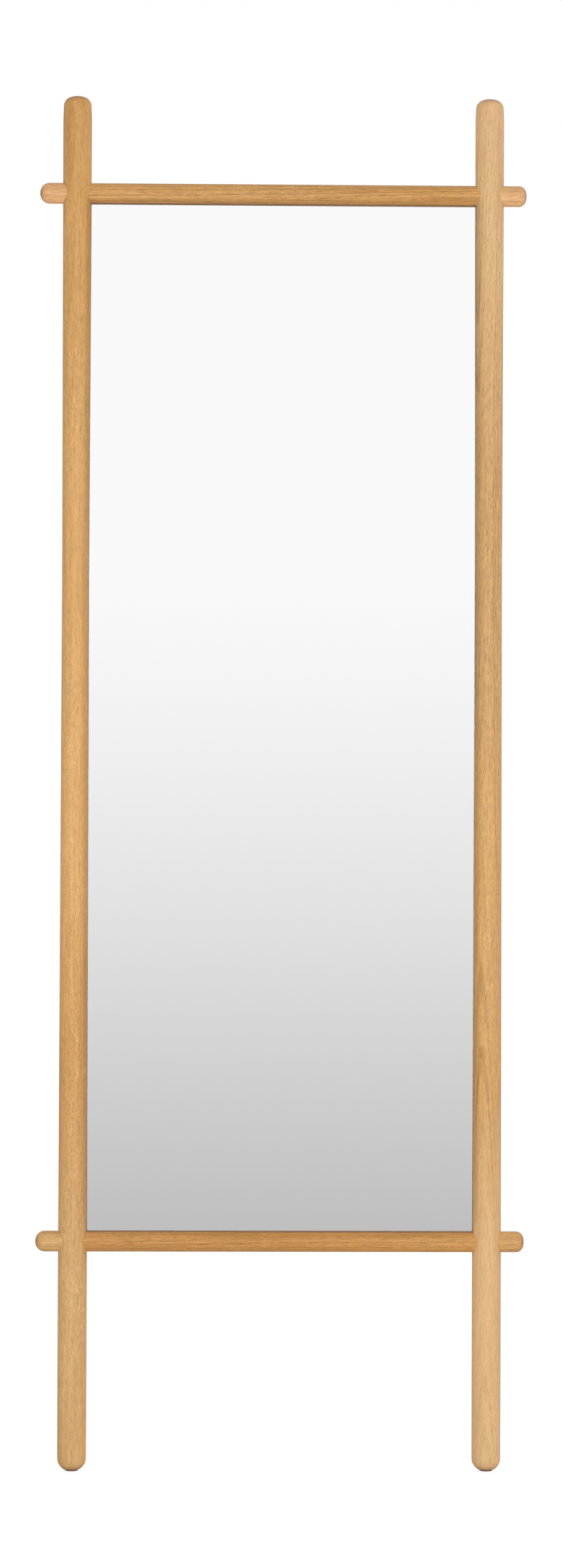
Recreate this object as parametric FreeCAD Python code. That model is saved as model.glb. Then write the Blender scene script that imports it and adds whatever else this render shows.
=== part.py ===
import FreeCAD, Part

import math
import os

# Leaning floor mirror with a dowelled oak frame.
#
# Two turned posts are crossed by two thinner round rails. Each rail is coped to the posts'
# round sides, and a through-dowel pins it to the post and to a short domed knob on the far
# side, so that the rail seems to run on past the post. The mirror glass and its back panel
# lie in a two-step rabbet, cut into the frame from behind. The posts are full round at both
# ends and slimmed by hand to a waist above the middle.
#
# All sizes are in millimetres. X runs to the right as the mirror is seen from the front,
# Y runs towards the wall behind it, and Z runs up. The posts' axes lie in the plane Y = 0,
# midway either side of X = 0, and the foot glides stand on Z = 0.

# Frame
overall_height = 1830.0
overall_width = 650.0
post_spacing = 551.0
post_top_diameter = 38.2
post_waist_diameter = 36.0
post_leg_diameter = 38.4
post_top_below = 75.0
post_waist_height = 1190.0
post_leg_height = 250.0
rail_diameter = 27.5
top_rail_height = 1700.0
bottom_rail_height = 304.0

# Turned ends: a flat-curved crown, a tighter shoulder, and a long easing into the side
post_top_end = {"crown": 30.0, "shoulder": 11.5, "ease_angle": 0.06}
post_foot_end = {"crown": 25.0, "shoulder": 16.0, "ease_angle": 0.02}
left_knob_end = {"crown": 16.0, "shoulder": 12.0, "ease_angle": 0.0}
right_knob_end = {"crown": 22.0, "shoulder": 9.5, "ease_angle": 0.0}
ease_radius = 400.0

# Through-dowels, with each end's distance from the post's axis
dowel_diameter = 10.0
dowel_rail_end = 45.0
dowel_knob_end = 36.0
dowel_chamfer = 1.0
bore_end_gap = 1.0

# Mirror glass, its protective film and its back panel
glass_front = 2.5
glass_thickness = 4.0
glass_cover = 4.75
glass_gap = 1.0
glass_arris = 0.5
film_thickness = 0.2
film_margin = 2.0
panel_thickness = 3.0
panel_shelf = 9.0
panel_gap = 1.0
panel_corner = 5.0
panel_pocket_corner = 4.0
setting_pad_length = 40.0
setting_pad_thickness = 1.5
setting_pad_spread = 300.0

# Screws that hold the back panel
panel_screw = {"head": 2.8, "rise": 1.8, "shank": 1.5, "length": 12.0}
panel_screw_clearance = 0.2
screws_beside_each_post = 6
screws_along_each_rail = 3
screw_inset_from_corner = 60.0

# Foot glides
glide_diameter = 16.4
glide_thickness = 1.0
glide_edge_radius = 0.5
foot_screw_head_radius = 2.8
foot_screw_shank_radius = 1.4
foot_screw_length = 18.0
foot_screw_recess = 0.3

# Wall bumpers
bumper_diameter = 12.0
bumper_thickness = 3.5
bumper_sunk = 1.5
bumper_seat_gap = 0.1
bumper_edge_radius = 0.8
bumper_height = 1790.0

# Tie hangers: a rolled strap on a milled flat, with a swinging ring
hanger_height = 1738.0
hanger_seat = 15.5
hanger_seat_below = 18.0
hanger_seat_above = 38.0
strap_width = 11.0
strap_thickness = 1.0
strap_length = 34.0
strap_holes_at = (12.0, 26.0)
strap_hole_radius = 1.8
ring_wire = 2.5
ring_width = 18.0
ring_corner = 2.75
ring_side = 3.0
ring_running_gap = 0.06
hanger_screw = {"head": 3.1, "rise": 1.8, "shank": 1.6, "length": 15.0}

# Worked out from the sizes above
post_x = post_spacing / 2
post_top_radius = post_top_diameter / 2
post_waist_radius = post_waist_diameter / 2
post_leg_radius = post_leg_diameter / 2
post_reach = post_leg_diameter
rail_radius = rail_diameter / 2
dowel_radius = dowel_diameter / 2
glass_back = glass_front + glass_thickness
panel_front = glass_back + film_thickness
panel_back = panel_front + panel_thickness
pocket_x = post_x - post_waist_radius + glass_cover
pocket_bottom = bottom_rail_height + rail_radius - glass_cover
pocket_top = top_rail_height - rail_radius + glass_cover
ring_radius = ring_wire / 2
knuckle_bore = ring_radius + ring_running_gap
knuckle_radius = knuckle_bore + strap_thickness
knuckle_y = hanger_seat + knuckle_radius

UP = FreeCAD.Vector(0, 0, 1)
BACK = FreeCAD.Vector(0, 1, 0)
RIGHT = FreeCAD.Vector(1, 0, 0)
SIDES = {"left": -1, "right": 1}
RAILS = {"top": top_rail_height, "bottom": bottom_rail_height}


def point(x, y, z):
    return FreeCAD.Vector(x, y, z)


def box(low, high):
    """A box between two opposite corners."""
    size = high - low
    return Part.makeBox(size.x, size.y, size.z, low)


def rounded_board(half_width, bottom, top, front, back, corner):
    """An upright board centred on X = 0, with its four corners rounded."""
    board = box(point(-half_width, front, bottom), point(half_width, back, top))
    corners = [
        edge
        for edge in board.Edges
        if abs(edge.Vertexes[0].Y - edge.Vertexes[-1].Y) > (back - front) / 2
    ]
    return board.makeFillet(corner, corners)


def revolved(edges, base, axis):
    """The solid made by turning a closed outline all the way round an axis."""
    return Part.Face(Part.Wire(edges)).revolve(base, axis, 360)


# Turned pieces


def arc(centre_x, centre_z, radius, start, end):
    """An arc in the plane Y = 0, between two angles measured from +X towards +Z."""
    angles = (start, (start + end) / 2, end)
    on_arc = [
        point(centre_x + radius * math.cos(a), 0, centre_z + radius * math.sin(a))
        for a in angles
    ]
    return Part.Arc(*on_arc).toShape()


def domed_end(radius, tip, crown, shoulder, ease_angle):
    """Outline of a turned upper end, from its tip on the Z axis down to its straight side.

    The crown arc meets the shoulder arc at a common tangent, and the shoulder meets the
    easing arc at ease_angle off upright. The last value is the height where the side starts.
    """
    ease_drop = ease_radius * (1 - math.cos(ease_angle))
    shoulder_x = radius - ease_drop - shoulder * math.cos(ease_angle)
    shoulder_rise = math.sqrt((crown - shoulder) ** 2 - shoulder_x**2)
    shoulder_z = tip - crown + shoulder_rise
    meeting = math.atan2(shoulder_rise, shoulder_x)
    outline = [
        arc(0, tip - crown, crown, math.pi / 2, meeting),
        arc(shoulder_x, shoulder_z, shoulder, meeting, ease_angle),
    ]
    side_top = shoulder_z + (shoulder - ease_radius) * math.sin(ease_angle)
    if ease_angle > 0:
        outline.append(arc(radius - ease_radius, side_top, ease_radius, ease_angle, 0))
    return outline, side_top


def turned_half(radius, length, end, slimming):
    """A bar standing on the plane Z = 0, turned to a dome at its top.

    Its side is straight from the dome down to the first place of slimming, and then runs
    from place to place, each a radius and a height. The last place is the bar's flat base.
    """
    outline, side_top = domed_end(radius, length, **end)
    corners = [point(radius, 0, side_top)]
    corners += [point(place[0], 0, place[1]) for place in slimming]
    corners += [point(0, 0, 0), point(0, 0, length)]
    outline += [Part.LineSegment(a, b).toShape() for a, b in zip(corners, corners[1:])]
    return revolved(outline, point(0, 0, 0), UP)


def turned_post(side):
    """The whole round of a post: straight at both ends and slimmed to a waist between."""
    foot_tip = glide_thickness - crown_sink(post_foot_end["crown"], glide_diameter / 2)
    above = overall_height - post_waist_height
    below = post_waist_height - foot_tip
    waist = (post_waist_radius, 0)
    top_start = (post_top_radius, above - post_top_below)
    leg_start = (post_leg_radius, post_waist_height - post_leg_height)
    upper = turned_half(post_top_radius, above, post_top_end, [top_start, waist])
    lower = turned_half(post_leg_radius, below, post_foot_end, [leg_start, waist])
    lower.rotate(point(0, 0, 0), RIGHT, 180)
    bar = upper.fuse(lower).removeSplitter()
    bar.translate(point(SIDES[side] * post_x, 0, post_waist_height))
    return bar


def crown_sink(crown, radius):
    """How far a crown arc has dropped from its tip at a radius off the axis."""
    return crown - math.sqrt(crown**2 - radius**2)


def dowel_bore(side, height, radius, rail_end, knob_end):
    """A cylinder along X through a post, reaching a distance past its axis on each side."""
    start = point(SIDES[side] * (post_x + knob_end), 0, height)
    return Part.makeCylinder(radius, knob_end + rail_end, start, RIGHT * -SIDES[side])


# The rabbet that the glass and the back panel lie in


def glass_pocket():
    low = point(-pocket_x, glass_front, pocket_bottom)
    return box(low, point(pocket_x, post_reach, pocket_top))


def panel_pocket():
    return rounded_board(
        pocket_x + panel_shelf,
        pocket_bottom - panel_shelf,
        pocket_top + panel_shelf,
        panel_front,
        post_reach,
        panel_pocket_corner,
    )


# Screws


def pan_screw(seat, axis, head, rise, shank, length):
    """A pan-head screw with its head's underside at seat, its head along axis."""
    head_top = point(0, 0, rise)
    corners = [
        head_top,
        point(head * 0.7, 0, rise),
        point(head, 0, rise / 2),
        point(head, 0, 0),
        point(shank, 0, 0),
        point(shank, 0, 2 * shank - length),
        point(0, 0, -length),
        head_top,
    ]
    outline = [Part.LineSegment(a, b).toShape() for a, b in zip(corners, corners[1:])]
    screw = revolved(outline, point(0, 0, 0), UP)
    screw.Placement = FreeCAD.Placement(seat, FreeCAD.Rotation(UP, axis))
    return screw


def panel_screw_places():
    """Places of the back panel's screws: along both posts, then along both rails."""
    beside_post = pocket_x + panel_shelf / 2
    low = pocket_bottom - panel_shelf + screw_inset_from_corner
    high = pocket_top + panel_shelf - screw_inset_from_corner
    step = (high - low) / (screws_beside_each_post - 1)
    places = [
        point(side * beside_post, panel_back, low + step * n)
        for side in SIDES.values()
        for n in range(screws_beside_each_post)
    ]
    pitch = 2 * pocket_x / screws_along_each_rail
    middle = (screws_along_each_rail - 1) / 2
    for height in (pocket_bottom - panel_shelf / 2, pocket_top + panel_shelf / 2):
        for n in range(screws_along_each_rail):
            places.append(point((n - middle) * pitch, panel_back, height))
    return places


def panel_screws():
    return Part.makeCompound(
        [pan_screw(place, BACK, **panel_screw) for place in panel_screw_places()]
    )


def foot_screw(side):
    """A countersunk screw, driven up through a foot glide into the post."""
    head, shank = foot_screw_head_radius, foot_screw_shank_radius
    corners = [
        point(0, 0, foot_screw_recess),
        point(head, 0, foot_screw_recess),
        point(shank, 0, foot_screw_recess + head - shank),
        point(shank, 0, foot_screw_length - 2 * shank),
        point(0, 0, foot_screw_length),
        point(0, 0, foot_screw_recess),
    ]
    outline = [Part.LineSegment(a, b).toShape() for a, b in zip(corners, corners[1:])]
    screw = revolved(outline, point(0, 0, 0), UP)
    screw.translate(point(SIDES[side] * post_x, 0, 0))
    return screw


def hanger_screws(side):
    seats = [
        point(SIDES[side] * post_x, hanger_seat + strap_thickness, hanger_height + up)
        for up in strap_holes_at
    ]
    return Part.makeCompound([pan_screw(seat, BACK, **hanger_screw) for seat in seats])


# Feet, bumpers and hangers


def foot_glide(side):
    """A round glide with a softened lower edge, screwed to the flat under a post."""
    radius = glide_diameter / 2
    disc = Part.makeCylinder(radius, glide_thickness)
    lower_rim = [edge for edge in disc.Edges if edge.BoundBox.ZMax < glide_thickness / 2]
    disc = disc.makeFillet(glide_edge_radius, lower_rim)
    disc.translate(point(SIDES[side] * post_x, 0, 0))
    mouth = Part.makeCylinder(
        foot_screw_head_radius, foot_screw_recess, point(SIDES[side] * post_x, 0, 0)
    )
    return disc.cut(mouth).cut(foot_screw(side))


def wall_bumper(side):
    """A soft disc on the back of a post, half sunk in a round seat."""
    base = point(SIDES[side] * post_x, post_top_radius - bumper_sunk, bumper_height)
    disc = Part.makeCylinder(bumper_diameter / 2, bumper_thickness, base, BACK)
    outer_rim = [edge for edge in disc.Edges if edge.BoundBox.YMin > post_top_radius]
    return disc.makeFillet(bumper_edge_radius, outer_rim)


def bumper_seat(side):
    base = point(SIDES[side] * post_x, post_top_radius - bumper_sunk, bumper_height)
    return Part.makeCylinder(
        bumper_diameter / 2 + bumper_seat_gap, post_reach, base, BACK
    )


def hanger_flat(side):
    """What is milled off the back of a post to seat a hanger."""
    x = SIDES[side] * post_x
    low = point(x - post_reach, hanger_seat, hanger_height - hanger_seat_below)
    high = point(x + post_reach, post_reach, hanger_height + hanger_seat_above)
    return box(low, high)


def hanger_strap(side):
    """A sheet-metal strap, its lower end rolled into a knuckle round the ring."""
    x = SIDES[side] * post_x
    half = strap_width / 2
    round_end = hanger_height + strap_length - half
    low = point(x - half, hanger_seat, hanger_height)
    plate = box(low, point(x + half, hanger_seat + strap_thickness, round_end))
    tip = point(x, hanger_seat, round_end)
    plate = plate.fuse(Part.makeCylinder(half, strap_thickness, tip, BACK))
    knuckle_end = point(x - half, knuckle_y, hanger_height)
    roll = Part.makeCylinder(knuckle_radius, strap_width, knuckle_end, RIGHT)
    slit = box(
        point(x - half, hanger_seat + strap_thickness, hanger_height + ring_radius / 2),
        point(x + half, knuckle_y, hanger_height + knuckle_radius),
    )
    bore = Part.makeCylinder(knuckle_bore, strap_width, knuckle_end, RIGHT)
    strap = plate.fuse(roll).cut(slit).cut(bore)
    for up in strap_holes_at:
        hole = point(x, hanger_seat, hanger_height + up)
        strap = strap.cut(Part.makeCylinder(strap_hole_radius, strap_thickness, hole, BACK))
    return strap.removeSplitter()


def hanger_ring(side):
    """A D-shaped wire ring, hanging straight down from its knuckle."""
    half = ring_width / 2
    straight = half - ring_corner
    turn = math.sqrt(0.5) * ring_corner
    side_top = -ring_corner
    side_foot = side_top - ring_side
    runs = [
        ((0, 0), (straight, 0)),
        ((straight, 0), (straight + turn, side_top + turn), (half, side_top)),
        ((half, side_top), (half, side_foot)),
        ((half, side_foot), (0, side_foot - half), (-half, side_foot)),
        ((-half, side_foot), (-half, side_top)),
        ((-half, side_top), (-straight - turn, side_top + turn), (-straight, 0)),
        ((-straight, 0), (0, 0)),
    ]

    def placed(spot):
        return point(SIDES[side] * post_x + spot[0], knuckle_y, hanger_height + spot[1])

    path = []
    for run in runs:
        curve = Part.LineSegment if len(run) == 2 else Part.Arc
        path.append(curve(*map(placed, run)).toShape())
    section = Part.Wire(Part.makeCircle(ring_radius, placed((0, 0)), RIGHT))
    return Part.Wire(path).makePipeShell([section], True, False)


# Wooden pieces


def post(side):
    """A turned post with its dowel holes, its stopped rabbet and its hardware seats."""
    bar = turned_post(side)
    x = SIDES[side] * post_x
    under_glide = box(
        point(x - post_reach, -post_reach, -post_reach),
        point(x + post_reach, post_reach, glide_thickness),
    )
    cuts = [under_glide, glass_pocket(), panel_pocket(), bumper_seat(side)]
    cuts += [hanger_flat(side), foot_screw(side), hanger_screws(side), panel_screws()]
    cuts += [
        dowel_bore(side, height, dowel_radius, post_reach, post_reach)
        for height in RAILS.values()
    ]
    for cut in cuts:
        bar = bar.cut(cut)
    return bar


def rail(height):
    """A round rail, coped to both posts, bored for the dowels and rabbeted behind."""
    start = point(-post_x, 0, height)
    bar = Part.makeCylinder(rail_radius, post_spacing, start, RIGHT)
    for side in SIDES:
        bar = bar.cut(turned_post(side))
        bore_end = dowel_rail_end + bore_end_gap
        bar = bar.cut(dowel_bore(side, height, dowel_radius, bore_end, 0))
    return bar.cut(glass_pocket()).cut(panel_pocket()).cut(panel_screws())


def knob(side, height):
    """A short domed end, coped to the post's outer side and bored for the dowel."""
    end = left_knob_end if side == "left" else right_knob_end
    base = (rail_radius, 0)
    bar = turned_half(rail_radius, overall_width / 2 - post_x, end, [base])
    outward = RIGHT * SIDES[side]
    bar.Placement = FreeCAD.Placement(
        point(SIDES[side] * post_x, 0, height), FreeCAD.Rotation(UP, outward)
    )
    bore = dowel_bore(side, height, dowel_radius, 0, dowel_knob_end + bore_end_gap)
    return bar.cut(turned_post(side)).cut(bore)


def dowel(side, height):
    """A chamfered dowel through the post, into the rail and the knob."""
    pin = dowel_bore(side, height, dowel_radius, dowel_rail_end, dowel_knob_end)
    ends = [edge for edge in pin.Edges if edge.BoundBox.XLength < dowel_chamfer]
    return pin.makeChamfer(dowel_chamfer, ends)


# Glass and what lies behind it


def mirror_glass():
    low = point(-pocket_x + glass_gap, glass_front, pocket_bottom + setting_pad_thickness)
    sheet = box(low, point(pocket_x - glass_gap, glass_back, pocket_top - glass_gap))
    return sheet.makeChamfer(glass_arris, sheet.Edges)


def safety_film():
    half = pocket_x - glass_gap - film_margin
    bottom = pocket_bottom + setting_pad_thickness + film_margin
    low = point(-half, glass_back, bottom)
    return box(low, point(half, panel_front, pocket_top - glass_gap - film_margin))


def setting_pad(side):
    """A strip in the bottom rail's rabbet that the glass stands on."""
    x = SIDES[side] * setting_pad_spread / 2
    low = point(x - setting_pad_length / 2, glass_front, pocket_bottom)
    top = pocket_bottom + setting_pad_thickness
    return box(low, point(x + setting_pad_length / 2, glass_back, top))


def back_panel():
    board = rounded_board(
        pocket_x + panel_shelf - panel_gap,
        pocket_bottom - panel_shelf + panel_gap,
        pocket_top + panel_shelf - panel_gap,
        panel_front,
        panel_back,
        panel_corner,
    )
    for place in panel_screw_places():
        radius = panel_screw["shank"] + panel_screw_clearance
        board = board.cut(Part.makeCylinder(radius, panel_thickness, place, -BACK))
    return board


def sub_parts():
    """Every sub-part by its name."""
    made = {
        "top_rail": rail(top_rail_height),
        "bottom_rail": rail(bottom_rail_height),
        "mirror_glass": mirror_glass(),
        "safety_film": safety_film(),
        "back_panel": back_panel(),
        "back_panel_screws": panel_screws(),
    }
    for side in SIDES:
        made[side + "_post"] = post(side)
        made[side + "_setting_pad"] = setting_pad(side)
        made[side + "_foot_glide"] = foot_glide(side)
        made[side + "_foot_screw"] = foot_screw(side)
        made[side + "_wall_bumper"] = wall_bumper(side)
        made[side + "_hanger_strap"] = hanger_strap(side)
        made[side + "_hanger_ring"] = hanger_ring(side)
        made[side + "_hanger_screws"] = hanger_screws(side)
        for rail_name, height in RAILS.items():
            made[f"{rail_name}_{side}_knob"] = knob(side, height)
            made[f"{rail_name}_{side}_dowel"] = dowel(side, height)
    return made


os.makedirs("parts", exist_ok=True)
for name, shape in sub_parts().items():
    shape.exportStep(f"parts/{name}.step")
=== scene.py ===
# Leaning floor mirror with a dowelled oak frame: how it looks.
#
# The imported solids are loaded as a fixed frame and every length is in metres. X runs to the
# right as the mirror is seen from the front, Y runs towards the wall behind it, and Z runs
# up from the floor that the foot glides stand on.

import math
import random

import bpy
from mathutils import Euler, Matrix, Vector


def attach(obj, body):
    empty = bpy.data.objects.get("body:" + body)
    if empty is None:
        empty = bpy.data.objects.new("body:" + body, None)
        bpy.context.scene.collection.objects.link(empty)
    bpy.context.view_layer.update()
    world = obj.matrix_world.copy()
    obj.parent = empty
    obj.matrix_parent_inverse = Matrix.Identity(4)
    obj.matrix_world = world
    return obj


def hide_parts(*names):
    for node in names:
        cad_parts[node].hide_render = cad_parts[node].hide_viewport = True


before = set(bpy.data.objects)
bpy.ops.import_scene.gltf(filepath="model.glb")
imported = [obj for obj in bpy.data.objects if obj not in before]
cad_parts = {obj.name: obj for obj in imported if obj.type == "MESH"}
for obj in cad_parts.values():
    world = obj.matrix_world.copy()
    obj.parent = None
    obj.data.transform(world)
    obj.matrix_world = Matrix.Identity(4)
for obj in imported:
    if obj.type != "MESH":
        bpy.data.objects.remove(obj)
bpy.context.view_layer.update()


# Posts
#
# Two posts of solid oak, turned from round stock, slimmed to a waist and sanded to soft domes
# at both ends. Each is rabbeted behind for the glass and its panel, bored through for the
# rails' dowels and milled flat high on its back for a hanger. The finish is a thin matt oil.

POST_X = 0.2755
POST_TOP = 1.83
TOP_RADIUS, TOP_STARTS = 0.0191, 1.755
WAIST_RADIUS, WAIST_Z, WAIST_BAND = 0.018, 1.19, 0.002
LEG_RADIUS, LEG_STARTS = 0.0192, 0.25
POST_TOP_END = {"crown": 0.03, "shoulder": 0.0115, "ease_angle": 0.06}
POST_FOOT_END = {"crown": 0.025, "shoulder": 0.016, "ease_angle": 0.02}
FOOT_FLAT_HEIGHT = 0.001
FOOT_FLAT_RADIUS = 0.0082
EASE_RADIUS = 0.4
EASE_STEPS, SHOULDER_STEPS, CROWN_STEPS = 6, 16, 8
ROUND_SIDES, SEAT_SIDES, BORE_SIDES, HEAD_SIDES, PILOT_SIDES = 112, 64, 48, 32, 20
SIDES = {"left": -1, "right": 1}

TOP_RAIL_Z = 1.7
BOTTOM_RAIL_Z = 0.304
RAIL_RADIUS = 0.01375
RAILS = {"top": TOP_RAIL_Z, "bottom": BOTTOM_RAIL_Z}

GLASS_FRONT = 0.0025
GLASS_POCKET_X = 0.26225
GLASS_POCKET_Z = (0.313, 1.691)
PANEL_FRONT = 0.0067
PANEL_BACK = 0.0097
PANEL_POCKET_X = 0.27125
PANEL_POCKET_Z = (0.304, 1.7)
PANEL_POCKET_CORNER = 0.004
PANEL_POCKET_CORNER_STEPS = 6

DOWEL_RADIUS = 0.005
BORE_TOWARDS_RAIL = 0.046
BORE_TOWARDS_KNOB = 0.037

HANGER_SEAT = 0.0155
HANGER_FLAT_Z = (1.72, 1.776)
HANGER_SCREW_HEIGHTS = (1.75, 1.764)
HANGER_PILOT_RADIUS = 0.0016
HANGER_SCREW_TIP = 0.0015
BUMPER_SEAT_RADIUS = 0.0061
BUMPER_SEAT = 0.0176
BUMPER_Z = 1.79
FOOT_PILOT_RADIUS = 0.0014
FOOT_SCREW_TIP = 0.018
FOOT_SINK_RADIUS = 0.0021
FOOT_SINK_TOP = 0.0017
PANEL_PILOT_RADIUS = 0.0015
PANEL_PILOT_START = 0.03
PANEL_SCREW_TIP = -0.0023
SCREWS_BESIDE_POST = 6
SCREWS_ALONG_RAIL = 3
SCREW_INSET_FROM_CORNER = 0.06
SCREW_INSET_IN_SHELF = 0.0045

# Cutters run on past the wood, to these distances behind, below and beside it
CLEAR_BEHIND, CLEAR_BELOW, CLEAR_BESIDE = 0.04, -0.01, 0.03

SHARP_FROM = math.radians(28)
MERGE_WITHIN = 1e-6
FACES_THAT_WAY = 0.99
FEWEST_ROUND_SIDES = 8
SHORTEST_DEEP_EDGE = 0.01


def only(piece):
    """Selects one piece and nothing else."""
    bpy.ops.object.select_all(action="DESELECT")
    piece.select_set(True)
    bpy.context.view_layer.objects.active = piece


def new_bar(radius, start, end, sides=ROUND_SIDES):
    """A round bar between two points on a line along X, Y or Z."""
    start, end = Vector(start), Vector(end)
    bpy.ops.object.select_all(action="DESELECT")
    bpy.ops.mesh.primitive_cylinder_add(
        vertices=sides,
        radius=radius,
        depth=(end - start).length,
        location=(start + end) / 2,
        rotation=(end - start).to_track_quat("Z", "Y").to_euler(),
    )
    bpy.ops.object.transform_apply()
    return bpy.context.object


def new_block(low, high):
    """A square block between two opposite corners."""
    low, high = Vector(low), Vector(high)
    bpy.ops.object.select_all(action="DESELECT")
    bpy.ops.mesh.primitive_cube_add(size=1, location=(low + high) / 2, scale=high - low)
    bpy.ops.object.transform_apply()
    return bpy.context.object


def join_up(pieces):
    """Several pieces as one mesh."""
    bpy.ops.object.select_all(action="DESELECT")
    for piece in pieces:
        piece.select_set(True)
    bpy.context.view_layer.objects.active = pieces[0]
    bpy.ops.object.join()
    return pieces[0]


def cut_away(piece, cutters):
    """Cuts the shape of each cutter out of a piece."""
    only(piece)
    for cutter in cutters:
        cut = piece.modifiers.new("cut", "BOOLEAN")
        cut.operation = "DIFFERENCE"
        cut.solver = "EXACT"
        cut.object = cutter
        bpy.ops.object.modifier_apply(modifier=cut.name)


def throw_away(pieces):
    """Deletes cutters that have done their work."""
    for piece in pieces:
        bpy.data.objects.remove(piece)


def turned_rings(radius, crown, shoulder, ease_angle):
    """Rings of a turned end, as radius and distance below the tip, from side to tip."""
    ease_drop = EASE_RADIUS * (1 - math.cos(ease_angle))
    shoulder_x = radius - ease_drop - shoulder * math.cos(ease_angle)
    shoulder_rise = math.sqrt((crown - shoulder) ** 2 - shoulder_x**2)
    meeting = math.atan2(shoulder_rise, shoulder_x)
    arcs = [
        (shoulder_x, shoulder_rise, shoulder, ease_angle, meeting, SHOULDER_STEPS),
        (0, 0, crown, meeting, math.pi / 2, CROWN_STEPS),
    ]
    if ease_angle > 0:
        side = shoulder_rise + (shoulder - EASE_RADIUS) * math.sin(ease_angle)
        arcs.insert(0, (radius - EASE_RADIUS, side, EASE_RADIUS, 0, ease_angle, EASE_STEPS))
    rings = []
    for centre_x, centre_rise, arc_radius, first, last, steps in arcs:
        for step in range(steps):
            angle = first + (last - first) * step / steps
            ring_radius = centre_x + arc_radius * math.cos(angle)
            rise = centre_rise + arc_radius * math.sin(angle)
            rings.append((ring_radius, crown - rise))
    return rings


def select_faces(piece, wanted):
    """Selects the faces of a piece that pass a test, ready to edit."""
    only(piece)
    bpy.ops.object.mode_set(mode="EDIT")
    bpy.ops.mesh.select_mode(type="FACE")
    bpy.ops.mesh.select_all(action="DESELECT")
    bpy.ops.object.mode_set(mode="OBJECT")
    for face in piece.data.polygons:
        face.select = wanted(face)
    bpy.ops.object.mode_set(mode="EDIT")


def select_end(piece, towards):
    """Selects the flat round end of a bar that faces one way."""

    def is_end(face):
        faces_that_way = face.normal.dot(towards) > FACES_THAT_WAY
        return faces_that_way and len(face.vertices) > FEWEST_ROUND_SIDES

    select_faces(piece, is_end)


def draw_dome(piece, towards, tip, rings, flat_radius=None):
    """Extrudes the end of a bar ring by ring into a dome, to its tip or to a flat."""
    towards, tip = Vector(towards), Vector(tip)
    select_end(piece, towards)
    (radius, below), *others = rings
    for next_radius, next_below in others:
        if flat_radius and next_radius < flat_radius:
            next_radius, next_below = flat_radius, flat_radius_below(rings, flat_radius)
        move = towards * (below - next_below)
        bpy.ops.mesh.extrude_region_move(TRANSFORM_OT_translate={"value": move})
        bpy.ops.transform.resize(
            value=(next_radius / radius,) * 3, center_override=tip - towards * next_below
        )
        radius, below = next_radius, next_below
        if radius == flat_radius:
            break
    if not flat_radius:
        bpy.ops.mesh.extrude_region_move(TRANSFORM_OT_translate={"value": towards * below})
        bpy.ops.mesh.merge(type="CENTER")
    bpy.ops.object.mode_set(mode="OBJECT")


def flat_radius_below(rings, flat_radius):
    """How far below its tip a turned end has a given radius."""
    for (wide, low), (narrow, high) in zip(rings, rings[1:]):
        if narrow <= flat_radius <= wide:
            return low + (high - low) * (wide - flat_radius) / (wide - narrow)


def finish_mesh(piece, name):
    """Names a finished mesh, points its faces outwards and smooths its rounds."""
    only(piece)
    piece.name = name
    piece.data.name = name
    bpy.ops.object.mode_set(mode="EDIT")
    bpy.ops.mesh.select_all(action="SELECT")
    bpy.ops.mesh.remove_doubles(threshold=MERGE_WITHIN)
    bpy.ops.mesh.normals_make_consistent(inside=False)
    bpy.ops.object.mode_set(mode="OBJECT")
    bpy.ops.object.shade_smooth_by_angle(angle=SHARP_FROM)


def new_pocket(half_x, front, heights):
    """A cutter for one step of the rabbet, which runs out through the back."""
    return new_block((-half_x, front, heights[0]), (half_x, CLEAR_BEHIND, heights[1]))


# The rabbet and the screw holes run through posts and rails alike
glass_pocket = new_pocket(GLASS_POCKET_X, GLASS_FRONT, GLASS_POCKET_Z)
panel_pocket = new_pocket(PANEL_POCKET_X, PANEL_FRONT, PANEL_POCKET_Z)
only(panel_pocket)
bpy.ops.object.mode_set(mode="EDIT")
bpy.ops.mesh.select_mode(type="EDGE")
bpy.ops.mesh.select_all(action="DESELECT")
bpy.ops.object.mode_set(mode="OBJECT")
for edge in panel_pocket.data.edges:
    first, last = (panel_pocket.data.vertices[v].co for v in edge.vertices)
    edge.select = abs(first.y - last.y) > SHORTEST_DEEP_EDGE
bpy.ops.object.mode_set(mode="EDIT")
bpy.ops.mesh.bevel(
    offset=PANEL_POCKET_CORNER, segments=PANEL_POCKET_CORNER_STEPS, affect="EDGES"
)
bpy.ops.object.mode_set(mode="OBJECT")

screw_x = GLASS_POCKET_X + SCREW_INSET_IN_SHELF
screw_low = PANEL_POCKET_Z[0] + SCREW_INSET_FROM_CORNER
screw_high = PANEL_POCKET_Z[1] - SCREW_INSET_FROM_CORNER
screw_places = [
    (side * screw_x, screw_low + (screw_high - screw_low) * n / (SCREWS_BESIDE_POST - 1))
    for side in SIDES.values()
    for n in range(SCREWS_BESIDE_POST)
]
screw_pitch = 2 * GLASS_POCKET_X / SCREWS_ALONG_RAIL
screw_places += [
    ((n - 1) * screw_pitch, height)
    for height in (
        PANEL_POCKET_Z[0] + SCREW_INSET_IN_SHELF,
        PANEL_POCKET_Z[1] - SCREW_INSET_IN_SHELF,
    )
    for n in range(SCREWS_ALONG_RAIL)
]
panel_pilots = join_up(
    [
        new_bar(
            PANEL_PILOT_RADIUS, (x, PANEL_SCREW_TIP, z), (x, PANEL_PILOT_START, z), PILOT_SIDES
        )
        for x, z in screw_places
    ]
)
dowel_bores = {}
for height_name, rail_z in RAILS.items():
    for side_name, side in SIDES.items():
        dowel_bores[height_name, side_name] = new_bar(
            DOWEL_RADIUS,
            (side * (POST_X - BORE_TOWARDS_RAIL), 0, rail_z),
            (side * (POST_X + BORE_TOWARDS_KNOB), 0, rail_z),
            BORE_SIDES,
        )

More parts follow.
